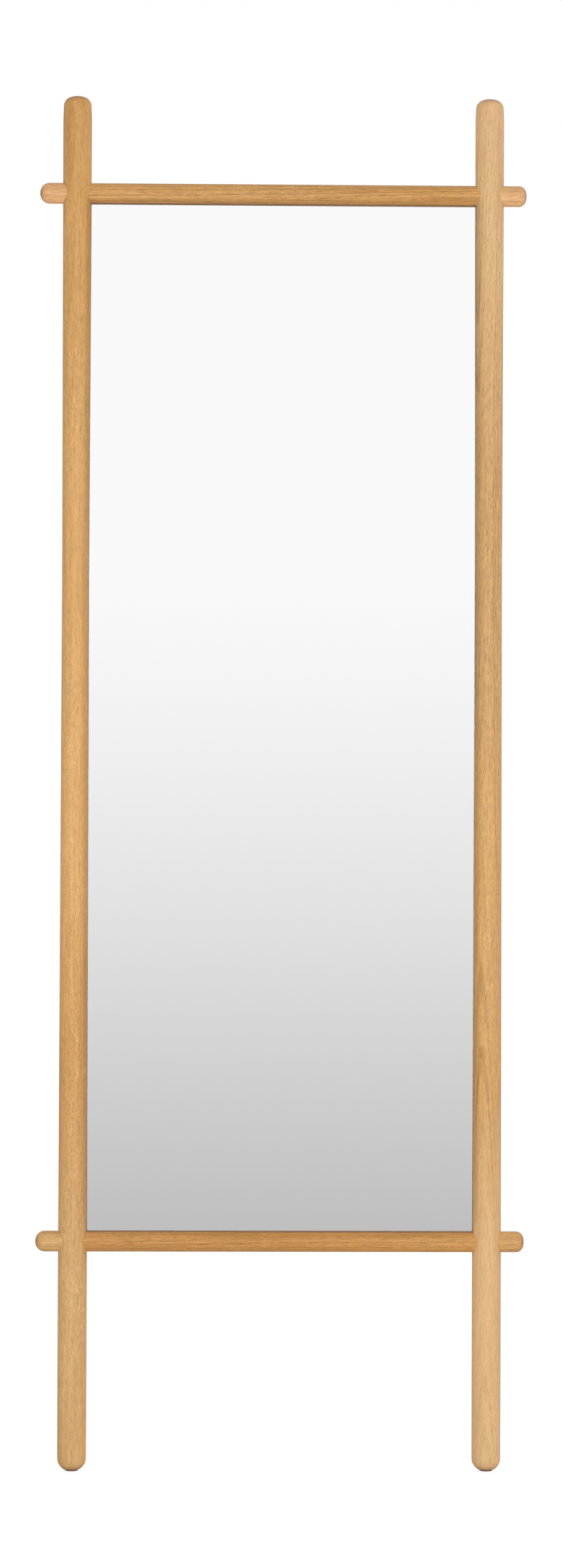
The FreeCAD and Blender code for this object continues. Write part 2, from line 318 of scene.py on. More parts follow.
top_rings = turned_rings(TOP_RADIUS, **POST_TOP_END)
foot_rings = turned_rings(LEG_RADIUS, **POST_FOOT_END)
foot_tip = FOOT_FLAT_HEIGHT - flat_radius_below(foot_rings, FOOT_FLAT_RADIUS)
above_waist, below_waist = WAIST_Z + WAIST_BAND / 2, WAIST_Z - WAIST_BAND / 2
top_rings = [
    (WAIST_RADIUS, POST_TOP - above_waist),
    (TOP_RADIUS, POST_TOP - TOP_STARTS),
    *top_rings,
]
foot_rings = [
    (WAIST_RADIUS, below_waist - foot_tip),
    (LEG_RADIUS, LEG_STARTS - foot_tip),
    *foot_rings,
]
posts, copes = {}, {}
for side_name, side in SIDES.items():
    x = side * POST_X
    post = new_bar(WAIST_RADIUS, (x, 0, below_waist), (x, 0, above_waist))
    draw_dome(post, (0, 0, 1), (x, 0, POST_TOP), top_rings)
    draw_dome(post, (0, 0, -1), (x, 0, foot_tip), foot_rings, FOOT_FLAT_RADIUS)
    only(post)
    bpy.ops.object.duplicate()
    copes[side_name] = bpy.context.object
    seats = [
        new_block(
            (x - CLEAR_BESIDE, HANGER_SEAT, HANGER_FLAT_Z[0]),
            (x + CLEAR_BESIDE, CLEAR_BEHIND, HANGER_FLAT_Z[1]),
        ),
        new_bar(
            BUMPER_SEAT_RADIUS, (x, BUMPER_SEAT, BUMPER_Z), (x, CLEAR_BEHIND, BUMPER_Z), SEAT_SIDES
        ),
        new_bar(FOOT_PILOT_RADIUS, (x, 0, CLEAR_BELOW), (x, 0, FOOT_SCREW_TIP), PILOT_SIDES),
        new_bar(FOOT_SINK_RADIUS, (x, 0, CLEAR_BELOW), (x, 0, FOOT_SINK_TOP), HEAD_SIDES),
    ]
    for z in HANGER_SCREW_HEIGHTS:
        pilot_ends = (x, HANGER_SCREW_TIP, z), (x, CLEAR_BEHIND, z)
        seats.append(new_bar(HANGER_PILOT_RADIUS, *pilot_ends, PILOT_SIDES))
    bores = [dowel_bores[height_name, side_name] for height_name in RAILS]
    cut_away(post, [*seats, *bores, glass_pocket, panel_pocket, panel_pilots])
    throw_away(seats)
    finish_mesh(post, f"{side_name}_post_turned")
    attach(post, "frame")
    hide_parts(f"{side_name}_post")
    posts[side_name] = post


def add(tree, kind, feeds=(), **settings):
    """Adds a node to a tree, sets it, and feeds its inputs with values or with links."""
    made = tree.nodes.new(kind)
    for name, value in settings.items():
        setattr(made, name, value)
    for socket, value in dict(feeds).items():
        if isinstance(value, bpy.types.NodeSocket):
            tree.links.new(value, made.inputs[socket])
        else:
            made.inputs[socket].default_value = value
    return made


def reckon(tree, operation, *terms):
    """The result of a sum on numbers."""
    return add(tree, "ShaderNodeMath", enumerate(terms), operation=operation).outputs[0]


def reckon_vector(tree, operation, *terms):
    """The result of a sum on vectors."""
    return add(tree, "ShaderNodeVectorMath", enumerate(terms), operation=operation).outputs[0]


def reckon_dot(tree, first, second):
    """How far one vector reaches along another."""
    feeds = {0: first, 1: second}
    return add(tree, "ShaderNodeVectorMath", feeds, operation="DOT_PRODUCT").outputs["Value"]


def ramp_up(tree, value, first, last, low=0.0, high=1.0):
    """A smooth step from low to high as a value goes from first to last."""
    feeds = {"Value": value, "From Min": first, "From Max": last, "To Min": low, "To Max": high}
    return add(tree, "ShaderNodeMapRange", feeds, interpolation_type="SMOOTHSTEP").outputs[0]


def streaks(tree, vector, per_metre, detail=1.0, roughness=0.5):
    """Noise drawn out along an axis, from how often it changes per metre along X, Y and Z."""
    drawn = reckon_vector(tree, "MULTIPLY", vector, per_metre)
    feeds = {"Vector": drawn, "Scale": 1.0, "Detail": detail, "Roughness": roughness}
    return add(tree, "ShaderNodeTexNoise", feeds)


def mixed(tree, factor, first, second, blend="MIX"):
    """Two colours mixed by a factor."""
    feeds = {0: factor, 6: first, 7: second}
    return add(tree, "ShaderNodeMix", feeds, data_type="RGBA", blend_type=blend).outputs[2]


def new_effect(name, inputs, outputs):
    """An empty node group with named sockets, and its input and output nodes."""
    group = bpy.data.node_groups.new(name, "ShaderNodeTree")
    kinds = {float: "NodeSocketFloat", tuple: "NodeSocketColor", str: "NodeSocketVector"}
    for label, value in inputs.items():
        kind = kinds[type(value)]
        socket = group.interface.new_socket(name=label, in_out="INPUT", socket_type=kind)
        if kind != "NodeSocketVector":
            socket.default_value = value
    for label, kind in outputs.items():
        group.interface.new_socket(name=label, in_out="OUTPUT", socket_type=kind)
    return group, group.nodes.new("NodeGroupInput").outputs, group.nodes.new("NodeGroupOutput")


def give(tree, result, **values):
    """Links what a node group works out to its outputs."""
    for label, value in values.items():
        tree.links.new(value, result.inputs[label])


SURFACE = {
    "Color": "NodeSocketColor",
    "Roughness": "NodeSocketFloat",
    "Height": "NodeSocketFloat",
}

# How often each feature of the oak changes per metre: across the grain twice, then along it
OAK_PER_METRE = {
    "swing": (6.0, 6.0, 2.4),
    "drift": (9.0, 9.0, 2.2),
    "patches": (25.0, 25.0, 5.0),
    "ripple": (110.0, 110.0, 24.0),
    "broad": (300.0, 300.0, 16.0),
    "fibres": (620.0, 620.0, 95.0),
    "pores": (900.0, 900.0, 80.0),
    "fine": (1600.0, 1600.0, 400.0),
}
# Parts of a year's growth, from 0 to 1, over which its porous spring wood comes and goes
SPRING_COMES, SPRING_GOES = (0.0, 0.12), (0.15, 0.65)
FAINTEST_YEAR = 0.15
PORES_SHOW, PORES_OUT_OF_SPRING = (0.56, 0.68), 0.4
# A year's line fades to a third where the fibres are pale
LINE_BREAKS = (0.3, 0.65, 0.35, 1.0)
# Rays change this often per radian about the pith, and per metre away from it and along it
RAY_PITCH, RAY_DISTORTION = (60.0, 110.0, 150.0), 2.2
RAYS_SHOW, PATCHES_SHOW = (0.54, 0.7), (0.38, 0.6)
# How far each feature lightens and darkens the wood
FIBRE_TONE, BROAD_TONE, FINE_TONE, DRIFT_TONE = 0.62, 0.5, 0.56, 0.3
END_GRAIN_TINT = (0.66, 0.62, 0.58, 1.0)

# Growth rings round a pith that lies off the piece, with the pores, fibres and ray flecks of
# oak. The grain runs along Z, and X and Y are measured from the pith.
oak_grain, given, result = new_effect(
    "oak grain",
    {
        "Place": "vector",
        "Ring Width": 0.0026,
        "Wander": 0.006,
        "Ripple": 0.6,
        "Line Depth": 0.6,
        "Grain Depth": 1.0,
        "Pore Depth": 0.5,
        "Fleck Depth": 0.3,
        "End Grain": 0.0,
        "Wood": (0.68, 0.39, 0.15, 1.0),
        "Line": (0.38, 0.17, 0.05, 1.0),
        "Fleck": (0.85, 0.6, 0.32, 1.0),
        "Tone": (1.0, 1.0, 1.0, 1.0),
    },
    SURFACE,
)
tree = oak_grain
swing = streaks(tree, given["Place"], OAK_PER_METRE["swing"], 2.0).outputs["Color"]
swing = reckon_vector(tree, "SUBTRACT", swing, (0.5, 0.5, 0.5))
swing = add(tree, "ShaderNodeVectorMath", {0: swing, "Scale": given["Wander"]}, operation="SCALE")
swung = reckon_vector(tree, "ADD", given["Place"], swing.outputs[0])
parts = add(tree, "ShaderNodeSeparateXYZ", {0: swung}).outputs
across = reckon(tree, "MULTIPLY", parts["X"], parts["X"])
across = reckon(tree, "ADD", across, reckon(tree, "MULTIPLY", parts["Y"], parts["Y"]))
across = reckon(tree, "SQRT", across)
ripple = streaks(tree, given["Place"], OAK_PER_METRE["ripple"], 3.0, 0.6).outputs["Fac"]
ripple = reckon(tree, "MULTIPLY", reckon(tree, "SUBTRACT", ripple, 0.5), given["Ripple"])
phase = reckon(tree, "ADD", reckon(tree, "DIVIDE", across, given["Ring Width"]), ripple)
year = reckon(tree, "FLOOR", phase)
season = reckon(tree, "FRACT", phase)
year_depth = add(tree, "ShaderNodeTexWhiteNoise", {"W": year}, noise_dimensions="1D")
year_depth = ramp_up(tree, year_depth.outputs["Value"], 0.0, 1.0, FAINTEST_YEAR, 1.0)
spring = ramp_up(tree, season, *SPRING_COMES)
spring = reckon(tree, "MULTIPLY", spring, ramp_up(tree, season, *SPRING_GOES, 1.0, 0.0))
spring = reckon(tree, "MULTIPLY", spring, year_depth)
broad = streaks(tree, swung, OAK_PER_METRE["broad"], 3.0, 0.6).outputs["Fac"]
fibres = streaks(tree, swung, OAK_PER_METRE["fibres"], 2.0, 0.6).outputs["Fac"]
fine = streaks(tree, swung, OAK_PER_METRE["fine"], 2.0, 0.6).outputs["Fac"]
pores = streaks(tree, swung, OAK_PER_METRE["pores"]).outputs["Fac"]
pores = ramp_up(tree, pores, *PORES_SHOW)
in_spring = ramp_up(tree, spring, 0.0, 0.6, PORES_OUT_OF_SPRING, 1.0)
pores = reckon(tree, "MULTIPLY", pores, in_spring)

# Rays are sheets that run out from the pith, so they show wide where a face is cut towards it
angle = reckon(tree, "ARCTAN2", parts["Y"], parts["X"])
sheet = add(
    tree,
    "ShaderNodeCombineXYZ",
    {
        socket: reckon(tree, "MULTIPLY", distance, pitch)
        for socket, (distance, pitch) in enumerate(zip((angle, across, parts["Z"]), RAY_PITCH))
    },
).outputs[0]
feeds = {"Vector": sheet, "Scale": 1.0, "Detail": 1.0, "Distortion": RAY_DISTORTION}
rays = add(tree, "ShaderNodeTexNoise", feeds).outputs["Fac"]
rays = ramp_up(tree, rays, *RAYS_SHOW)
patches = streaks(tree, given["Place"], OAK_PER_METRE["patches"]).outputs["Fac"]
rays = reckon(tree, "MULTIPLY", rays, ramp_up(tree, patches, *PATCHES_SHOW))

line = reckon(tree, "MULTIPLY", spring, ramp_up(tree, fibres, *LINE_BREAKS))
line = reckon(tree, "MULTIPLY", line, given["Line Depth"])
line = reckon(tree, "MULTIPLY", line, given["Grain Depth"])
pitted = reckon(tree, "MULTIPLY", pores, given["Pore Depth"])
pitted = reckon(tree, "MULTIPLY", pitted, given["Grain Depth"])
wood = mixed(tree, line, given["Wood"], given["Line"])
wood = mixed(tree, reckon(tree, "MULTIPLY", rays, given["Fleck Depth"]), wood, given["Fleck"])
wood = mixed(tree, pitted, wood, given["Line"])
drift = streaks(tree, given["Place"], OAK_PER_METRE["drift"], 2.0).outputs["Fac"]
fibre_tone, broad_tone, fine_tone = (
    reckon(tree, "MULTIPLY_ADD", feature, weight, -weight / 2)
    for feature, weight in ((fibres, FIBRE_TONE), (broad, BROAD_TONE), (fine, FINE_TONE))
)
tone = reckon(tree, "ADD", fibre_tone, reckon(tree, "ADD", broad_tone, fine_tone))
tone = reckon(tree, "MULTIPLY", tone, given["Grain Depth"])
drift_tone = reckon(tree, "MULTIPLY_ADD", drift, DRIFT_TONE, 1 - DRIFT_TONE / 2)
tone = reckon(tree, "ADD", tone, drift_tone)
tone = add(tree, "ShaderNodeCombineXYZ", {0: tone, 1: tone, 2: tone}).outputs[0]
wood = mixed(tree, 1.0, wood, tone, "MULTIPLY")
wood = mixed(tree, 1.0, wood, given["Tone"], "MULTIPLY")
ends = mixed(tree, 1.0, wood, END_GRAIN_TINT, "MULTIPLY")
wood = mixed(tree, given["End Grain"], wood, ends)
matt = reckon(tree, "MULTIPLY_ADD", fine, 0.12, 0.5)
matt = reckon(tree, "ADD", matt, reckon(tree, "MULTIPLY", pores, 0.15))
relief = reckon(tree, "SUBTRACT", reckon(tree, "MULTIPLY", fine, 0.35), pores)
relief = reckon(tree, "SUBTRACT", relief, reckon(tree, "MULTIPLY", spring, 0.15))
give(tree, result, Color=wood, Roughness=matt, Height=relief)

# Painted shade where the glass meets the wood: a dark line all round the sight opening stands in
# for the shadow in the gap behind the lip, and a broader, fainter painted shade deepens the flanks
# beside it
SEAT_X = (POST_X - 0.0085, POST_X - 0.0105)
SEAT_LOW = (BOTTOM_RAIL_Z + 0.007, BOTTOM_RAIL_Z + 0.009)
SEAT_HIGH = (TOP_RAIL_Z - 0.007, TOP_RAIL_Z - 0.009)
SEAT_DEPTH = (-0.0066, -0.0036)
FLANK_LOW = (BOTTOM_RAIL_Z + 0.01, BOTTOM_RAIL_Z + 0.04)
FLANK_DEPTH = (-0.0165, -0.0115)
FLANK_SHARE = 0.27
# How far the painted shade by the glass darkens the wood
SEAT_SHADE_TINT = (0.42, 0.35, 0.24, 1.0)
glass_seat_shade, given, result = new_effect(
    "glass seat shade", {"Place": "vector"}, {"Dark": "NodeSocketFloat"}
)
tree = glass_seat_shade
spot = add(tree, "ShaderNodeSeparateXYZ", {0: given["Place"]}).outputs
beside = ramp_up(tree, reckon(tree, "ABSOLUTE", spot["X"]), *SEAT_X)
beside = reckon(tree, "MULTIPLY", beside, ramp_up(tree, spot["Z"], *SEAT_HIGH))
seat_shade = reckon(tree, "MULTIPLY", ramp_up(tree, spot["Z"], *SEAT_LOW), beside)
seat_shade = reckon(tree, "MULTIPLY", seat_shade, ramp_up(tree, spot["Y"], *SEAT_DEPTH))
flank = reckon(tree, "MULTIPLY", ramp_up(tree, spot["Z"], *FLANK_LOW), beside)
flank = reckon(tree, "MULTIPLY", flank, ramp_up(tree, spot["Y"], *FLANK_DEPTH, 0.0, FLANK_SHARE))
give(tree, result, Dark=reckon(tree, "MAXIMUM", seat_shade, flank))


def new_finish(name):
    """A fresh material: its tree and its plain shader."""
    made = bpy.data.materials.new(name)
    made.use_nodes = True
    return made, made.node_tree, made.node_tree.nodes["Principled BSDF"]


def emboss(tree, shader, height, strength, distance):
    """Raises a shader's surface by a height."""
    feeds = {"Height": height, "Strength": strength, "Distance": distance}
    bump = add(tree, "ShaderNodeBump", feeds)
    tree.links.new(bump.outputs[0], shader.inputs["Normal"])


def coat(piece, finish):
    """Gives a piece one finish and no other."""
    piece.data.materials.clear()
    piece.data.materials.append(finish)


# How squarely a face has to be cut across the grain to show it end on
END_GRAIN_FACES = (0.5, 1.0)
OIL_SPECULAR = 0.25
OAK_RELIEF = (0.5, 0.0001)


def oak(name, turn, pith, grain_axis, colours, toning=(), **grain):
    """Oiled oak, its pith placed off the piece and its grain along one axis.

    Colours are those of the wood, its dark lines and its flecks. Toning is how its colour is
    tinted along its grain, end to end: places, tints and how deep the grain shows there.
    """
    made, tree, shader = new_finish(name)
    spot = add(tree, "ShaderNodeTexCoord").outputs["Object"]
    place = add(tree, "ShaderNodeMapping", {"Vector": spot, "Location": pith, "Rotation": turn})
    facing = add(tree, "ShaderNodeNewGeometry").outputs["Normal"]
    along = reckon_dot(tree, facing, grain_axis)
    end_grain = ramp_up(tree, reckon(tree, "ABSOLUTE", along), *END_GRAIN_FACES)
    wood = add(tree, "ShaderNodeGroup", node_tree=oak_grain)
    for socket, value in grain.items():
        wood.inputs[socket].default_value = value
    for socket, colour in zip(("Wood", "Line", "Fleck"), colours):
        wood.inputs[socket].default_value = (*colour, 1.0)
    tree.links.new(place.outputs[0], wood.inputs["Place"])
    tree.links.new(end_grain, wood.inputs["End Grain"])
    if toning:
        first, last = toning[0][0], toning[-1][0]
        reach = reckon_dot(tree, spot, grain_axis)
        feeds = {"Value": reach, "From Min": first, "From Max": last}
        reach = add(tree, "ShaderNodeMapRange", feeds).outputs[0]
        tones = add(tree, "ShaderNodeValToRGB", {0: reach})
        stops = tones.color_ramp.elements
        for number, (reached, tint, depth) in enumerate(toning):
            position = (reached - first) / (last - first)
            stop = stops[number] if number < 2 else stops.new(position)
            stop.position = position
            stop.color = (*tint, depth)
        tree.links.new(tones.outputs["Color"], wood.inputs["Tone"])
        tree.links.new(tones.outputs["Alpha"], wood.inputs["Grain Depth"])
    # Painted shade along the glass seat and the flanks beside it darkens the wood there
    seat_shade = add(tree, "ShaderNodeGroup", {"Place": spot}, node_tree=glass_seat_shade)
    shaded_wood = mixed(tree, 1.0, wood.outputs["Color"], SEAT_SHADE_TINT, "MULTIPLY")
    finished = mixed(tree, seat_shade.outputs["Dark"], wood.outputs["Color"], shaded_wood)
    tree.links.new(finished, shader.inputs["Base Color"])
    tree.links.new(wood.outputs["Roughness"], shader.inputs["Roughness"])
    shader.inputs["Specular IOR Level"].default_value = OIL_SPECULAR
    emboss(tree, shader, wood.outputs["Height"], *OAK_RELIEF)
    return made


UP = (0.0, 0.0, 1.0)
# Heights up each post, with the tint laid on the colour there and how deep its grain shows
LEFT_TONING = (
    (0.0, (0.95, 0.99, 1.1), 0.9),
    (0.3, (0.95, 0.99, 1.08), 1.0),
    (0.55, (0.93, 0.86, 0.76), 0.9),
    (0.78, (1.02, 1.0, 1.0), 0.9),
    (1.25, (1.03, 1.02, 1.03), 0.9),
    (1.44, (0.97, 0.95, 0.9), 1.0),
    (1.62, (0.95, 0.92, 0.84), 1.0),
    (1.83, (0.89, 0.84, 0.75), 0.9),
)
RIGHT_TONING = (
    (0.0, (1.09, 1.17, 1.42), 0.45),
    (0.3, (1.08, 1.15, 1.36), 0.5),
    (0.5, (0.96, 0.94, 0.88), 0.8),
    (0.8, (0.95, 0.92, 0.86), 1.0),
    (1.1, (0.9, 0.9, 0.91), 1.1),
    (1.3, (0.91, 0.9, 0.92), 1.1),
    (1.45, (0.95, 0.98, 1.08), 1.0),
    (1.6, (1.02, 1.1, 1.3), 0.8),
    (1.83, (1.07, 1.14, 1.42), 0.6),
)
coat(
    posts["left"],
    oak(
        "oiled oak, left post",
        turn=(0.012, 0.008, 0.0),
        pith=(POST_X - 0.055, -0.06, 0.0),
        grain_axis=UP,
        colours=((0.705, 0.398, 0.146), (0.44, 0.2, 0.055), (0.95, 0.66, 0.34)),
        toning=LEFT_TONING,
        **{"Ring Width": 0.0022, "Line Depth": 0.4, "Fleck Depth": 0.5},
    ),
)
coat(
    posts["right"],
    oak(
        "oiled oak, right post",
        turn=(-0.05, -0.05, 0.0),
        pith=(-POST_X - 0.015, -0.12, 0.0),
        grain_axis=UP,
        colours=((0.712, 0.417, 0.166), (0.4, 0.185, 0.055), (0.9, 0.66, 0.36)),
        toning=RIGHT_TONING,
        **{"Ring Width": 0.0028, "Line Depth": 0.7, "Pore Depth": 0.8, "Fleck Depth": 0.25},
    ),
)


# Rails
#
# Two thinner rails of the same oak join the posts at the top and at knee height. Their ends
# are coped to the posts' round sides, and they carry the same rabbet behind.

rails = {}
for height_name, rail_z in RAILS.items():
    rail = new_bar(RAIL_RADIUS, (-POST_X, 0, rail_z), (POST_X, 0, rail_z))
    bores = [dowel_bores[height_name, side_name] for side_name in SIDES]
    cut_away(rail, [*copes.values(), *bores, glass_pocket, panel_pocket, panel_pilots])
    finish_mesh(rail, f"{height_name}_rail_coped")
    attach(rail, "frame")
    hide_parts(f"{height_name}_rail")
    rails[height_name] = rail

ACROSS = (1.0, 0.0, 0.0)
LAID_DOWN = -math.pi / 2
coat(
    rails["top"],
    oak(
        "oiled oak, top rail",
        turn=(0.0, LAID_DOWN + 0.02, 0.0),
        pith=(TOP_RAIL_Z - 0.03, 0.045, 0.0),
        grain_axis=ACROSS,
        colours=((0.63, 0.33, 0.108), (0.34, 0.145, 0.038), (0.84, 0.55, 0.25)),
        toning=(
            (-0.26, (1.04, 1.06, 1.12), 1.1),
            (0.0, (1.0, 1.01, 1.02), 1.1),
            (0.2, (1.03, 1.02, 0.98), 1.1),
            (0.26, (1.1, 1.13, 1.17), 0.9),
        ),
        **{"Ring Width": 0.0025, "Line Depth": 0.6, "Pore Depth": 0.7, "Fleck Depth": 0.45},
    ),
)
coat(
    rails["bottom"],
    oak(
        "oiled oak, bottom rail",
        turn=(0.0, LAID_DOWN + 0.015, 0.0),
        pith=(BOTTOM_RAIL_Z + 0.03, 0.05, 0.4),
        grain_axis=ACROSS,
        colours=((0.575, 0.278, 0.08), (0.35, 0.145, 0.033), (0.78, 0.48, 0.2)),
        toning=(
            (-0.26, (1.0, 1.02, 1.08), 1.1),
            (-0.05, (0.95, 0.94, 0.89), 1.1),
            (0.26, (1.08, 1.12, 1.16), 1.0),
        ),
        **{"Ring Width": 0.0028, "Line Depth": 0.6, "Pore Depth": 0.7, "Fleck Depth": 0.4},
    ),
)


# Knobs
#
# Four short domed ends of oak stand outside the posts, in line with the rails, so that each
# rail seems to run on through. Each is coped to its post and glued onto the dowel's end.

KNOB_TIP = 0.325
KNOB_ENDS = {
    "left": {"crown": 0.016, "shoulder": 0.012, "ease_angle": 0.0},
    "right": {"crown": 0.022, "shoulder": 0.0095, "ease_angle": 0.0},
}
KNOB_WOODS = {
    ("top", "left"): ((0.77, 0.44, 0.205), (0.44, 0.19, 0.07), (0.9, 0.62, 0.36)),
    ("top", "right"): ((0.77, 0.45, 0.21), (0.38, 0.17, 0.07), (0.9, 0.62, 0.36)),
    ("bottom", "left"): ((0.665, 0.395, 0.154), (0.33, 0.165, 0.055), (0.88, 0.6, 0.32)),
    ("bottom", "right"): ((0.63, 0.352, 0.13), (0.37, 0.16, 0.05), (0.84, 0.56, 0.28)),
}
for height_name, rail_z in RAILS.items():
    for side_name, side in SIDES.items():
        rings = turned_rings(RAIL_RADIUS, **KNOB_ENDS[side_name])
        outwards = (side, 0, 0)
        straight_end = side * (KNOB_TIP - rings[0][1])
        knob = new_bar(RAIL_RADIUS, (side * POST_X, 0, rail_z), (straight_end, 0, rail_z))
        draw_dome(knob, outwards, (side * KNOB_TIP, 0, rail_z), rings)
        cut_away(knob, [copes[side_name], dowel_bores[height_name, side_name]])
        finish_mesh(knob, f"{height_name}_{side_name}_knob_turned")
        coat(
            knob,
            oak(
                f"oiled oak, {height_name} {side_name} knob",
                turn=(0.0, LAID_DOWN + 0.03, 0.0),
                pith=(rail_z - 0.06 * side, 0.03, 0.7),
                grain_axis=ACROSS,
                colours=KNOB_WOODS[height_name, side_name],
                **{"Ring Width": 0.0024, "Line Depth": 0.4, "Pore Depth": 0.85},
            ),
        )
        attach(knob, "frame")
        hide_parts(f"{height_name}_{side_name}_knob")
throw_away([*copes.values(), *dowel_bores.values(), glass_pocket, panel_pocket, panel_pilots])


# Dowels
#
# A beech dowel runs from each rail through the post into the knob. They are hidden once
# the frame is glued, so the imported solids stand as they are, with a finish of plain beech.


def dress(node_names, finish):
    """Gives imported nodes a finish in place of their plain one."""
    for node_name in node_names:
        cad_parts[node_name].material_slots[0].material = finish


dress(
    [f"{height_name}_{side_name}_dowel" for height_name in RAILS for side_name in SIDES],
    oak(
        "bare beech",
        turn=(0.0, LAID_DOWN, 0.0),
        pith=(1.0, 0.06, 0.0),
        grain_axis=ACROSS,
        colours=((0.6, 0.4, 0.24), (0.42, 0.24, 0.13), (0.42, 0.25, 0.14)),
        **{"Ring Width": 0.004, "Line Depth": 0.25, "Pore Depth": 0.2, "Fleck Depth": 0.6},
    ),
)


# Mirror glass and its film
#
# Silvered float glass, 4 mm thick, with its edges ground and the arrises taken off. Its
# back is painted and covered with a thin safety film. The front shows the silvering.

# How far a face of the sheet is turned towards the wall, for its front and for its back
FRONT_FACES = (-0.95, -0.85)
BACK_FACES = (0.85, 0.95)

mirror, tree, shader = new_finish("silvered glass")
place = add(tree, "ShaderNodeTexCoord").outputs["Object"]
facing = add(tree, "ShaderNodeNewGeometry").outputs["Normal"]
facing = add(tree, "ShaderNodeSeparateXYZ", {0: facing}).outputs["Y"]
front = ramp_up(tree, facing, *FRONT_FACES, 1.0, 0.0)
back = ramp_up(tree, facing, *BACK_FACES)
ground = streaks(tree, place, (900.0, 900.0, 900.0), 2.0).outputs["Fac"]
mottle = streaks(tree, place, (60.0, 60.0, 60.0), 3.0).outputs["Fac"]
edge_glass = mixed(tree, ground, (0.16, 0.3, 0.25, 1.0), (0.3, 0.46, 0.4, 1.0))
back_paint = mixed(tree, mottle, (0.24, 0.26, 0.27, 1.0), (0.32, 0.34, 0.35, 1.0))
body_colour = mixed(tree, back, edge_glass, back_paint)
haze = mixed(tree, mottle, (0.97, 0.97, 0.97, 1.0), (0.974, 0.974, 0.974, 1.0))
tree.links.new(mixed(tree, front, body_colour, haze), shader.inputs["Base Color"])
shader.inputs["Metallic"].default_value = 1.0
edge_roughness = reckon(tree, "MULTIPLY_ADD", ground, 0.3, 0.3)
sheen = add(tree, "ShaderNodeMix", {0: front, 2: edge_roughness, 3: 0.0}).outputs[0]
tree.links.new(sheen, shader.inputs["Roughness"])
dress(["mirror_glass"], mirror)

film, tree, shader = new_finish("safety film")
place = add(tree, "ShaderNodeTexCoord").outputs["Object"]
creases = streaks(tree, place, (9.0, 9.0, 3.0), 3.0).outputs["Fac"]
weave = streaks(tree, place, (900.0, 900.0, 900.0)).outputs["Fac"]
film_colour = mixed(tree, creases, (0.38, 0.42, 0.46, 1.0), (0.46, 0.5, 0.54, 1.0))
tree.links.new(film_colour, shader.inputs["Base Color"])
tree.links.new(reckon(tree, "MULTIPLY_ADD", weave, 0.2, 0.35), shader.inputs["Roughness"])
relief = reckon(tree, "ADD", creases, reckon(tree, "MULTIPLY", weave, 0.1))
emboss(tree, shader, relief, 0.4, 0.0005)
dress(["safety_film"], film)


# Setting pads
#
# Two strips of black rubber, cut from sheet and laid in the bottom rail's rabbet. The glass
# stands on them and not on the wood.

# Moulded rubber or plastic: a finely pitted skin that dulls and pales where it is rubbed
moulded_skin, given, result = new_effect(
    "moulded skin",
    {
        "Place": "vector",
        "Pits Per Metre": 2500.0,
        "Rubbed": 0.0,
        "Stuff": (0.03, 0.03, 0.03, 1.0),
        "Scuff": (0.12, 0.11, 0.1, 1.0),
    },
    SURFACE,
)
tree = moulded_skin
feeds = {"Vector": given["Place"], "Scale": given["Pits Per Metre"], "Detail": 2.0}
pits = add(tree, "ShaderNodeTexNoise", feeds).outputs["Fac"]
cloud = streaks(tree, given["Place"], (220.0, 220.0, 220.0), 3.0).outputs["Fac"]
scuffs = streaks(tree, given["Place"], (2600.0, 500.0, 900.0), 3.0).outputs["Fac"]
rubbed = reckon(tree, "MULTIPLY", ramp_up(tree, scuffs, 0.42, 0.62), given["Rubbed"])
rubbed = reckon(tree, "MULTIPLY_ADD", ramp_up(tree, cloud, 0.5, 0.8), 0.12, rubbed)
skin = mixed(tree, rubbed, given["Stuff"], given["Scuff"])
matt = reckon(tree, "MULTIPLY_ADD", pits, 0.25, 0.5)
give(tree, result, Color=skin, Roughness=matt, Height=pits)


def wear(tree, shader, skin, strength, distance):
    """Covers a shader with the colour, roughness and relief of a node group."""
    tree.links.new(skin.outputs["Color"], shader.inputs["Base Color"])
    tree.links.new(skin.outputs["Roughness"], shader.inputs["Roughness"])
    emboss(tree, shader, skin.outputs["Height"], strength, distance)


def moulded(name, stuff, scuff, rubbed_below=None):
    """Moulded rubber or plastic, rubbed pale below a height where it has one."""
    made, tree, shader = new_finish(name)
    place = add(tree, "ShaderNodeTexCoord").outputs["Object"]
    skin = add(tree, "ShaderNodeGroup", {"Place": place}, node_tree=moulded_skin)
    skin.inputs["Stuff"].default_value = stuff
    skin.inputs["Scuff"].default_value = scuff
    if rubbed_below:
        height = add(tree, "ShaderNodeSeparateXYZ", {0: place}).outputs["Z"]
        rubbed = ramp_up(tree, height, 0.0, rubbed_below, 1.0, 0.0)
        tree.links.new(rubbed, skin.inputs["Rubbed"])
    wear(tree, shader, skin, 0.35, 0.00005)
    return made


dress(
    ["left_setting_pad", "right_setting_pad"],
    moulded("black rubber", (0.025, 0.025, 0.025, 1.0), (0.09, 0.09, 0.09, 1.0)),
)


# Back panel and its screws
#
# A sheet of brown hardboard, 3 mm thick, closes the rabbet behind the glass. Eighteen
# zinc-plated pan-head screws with cross recesses hold it to the posts and the rails.

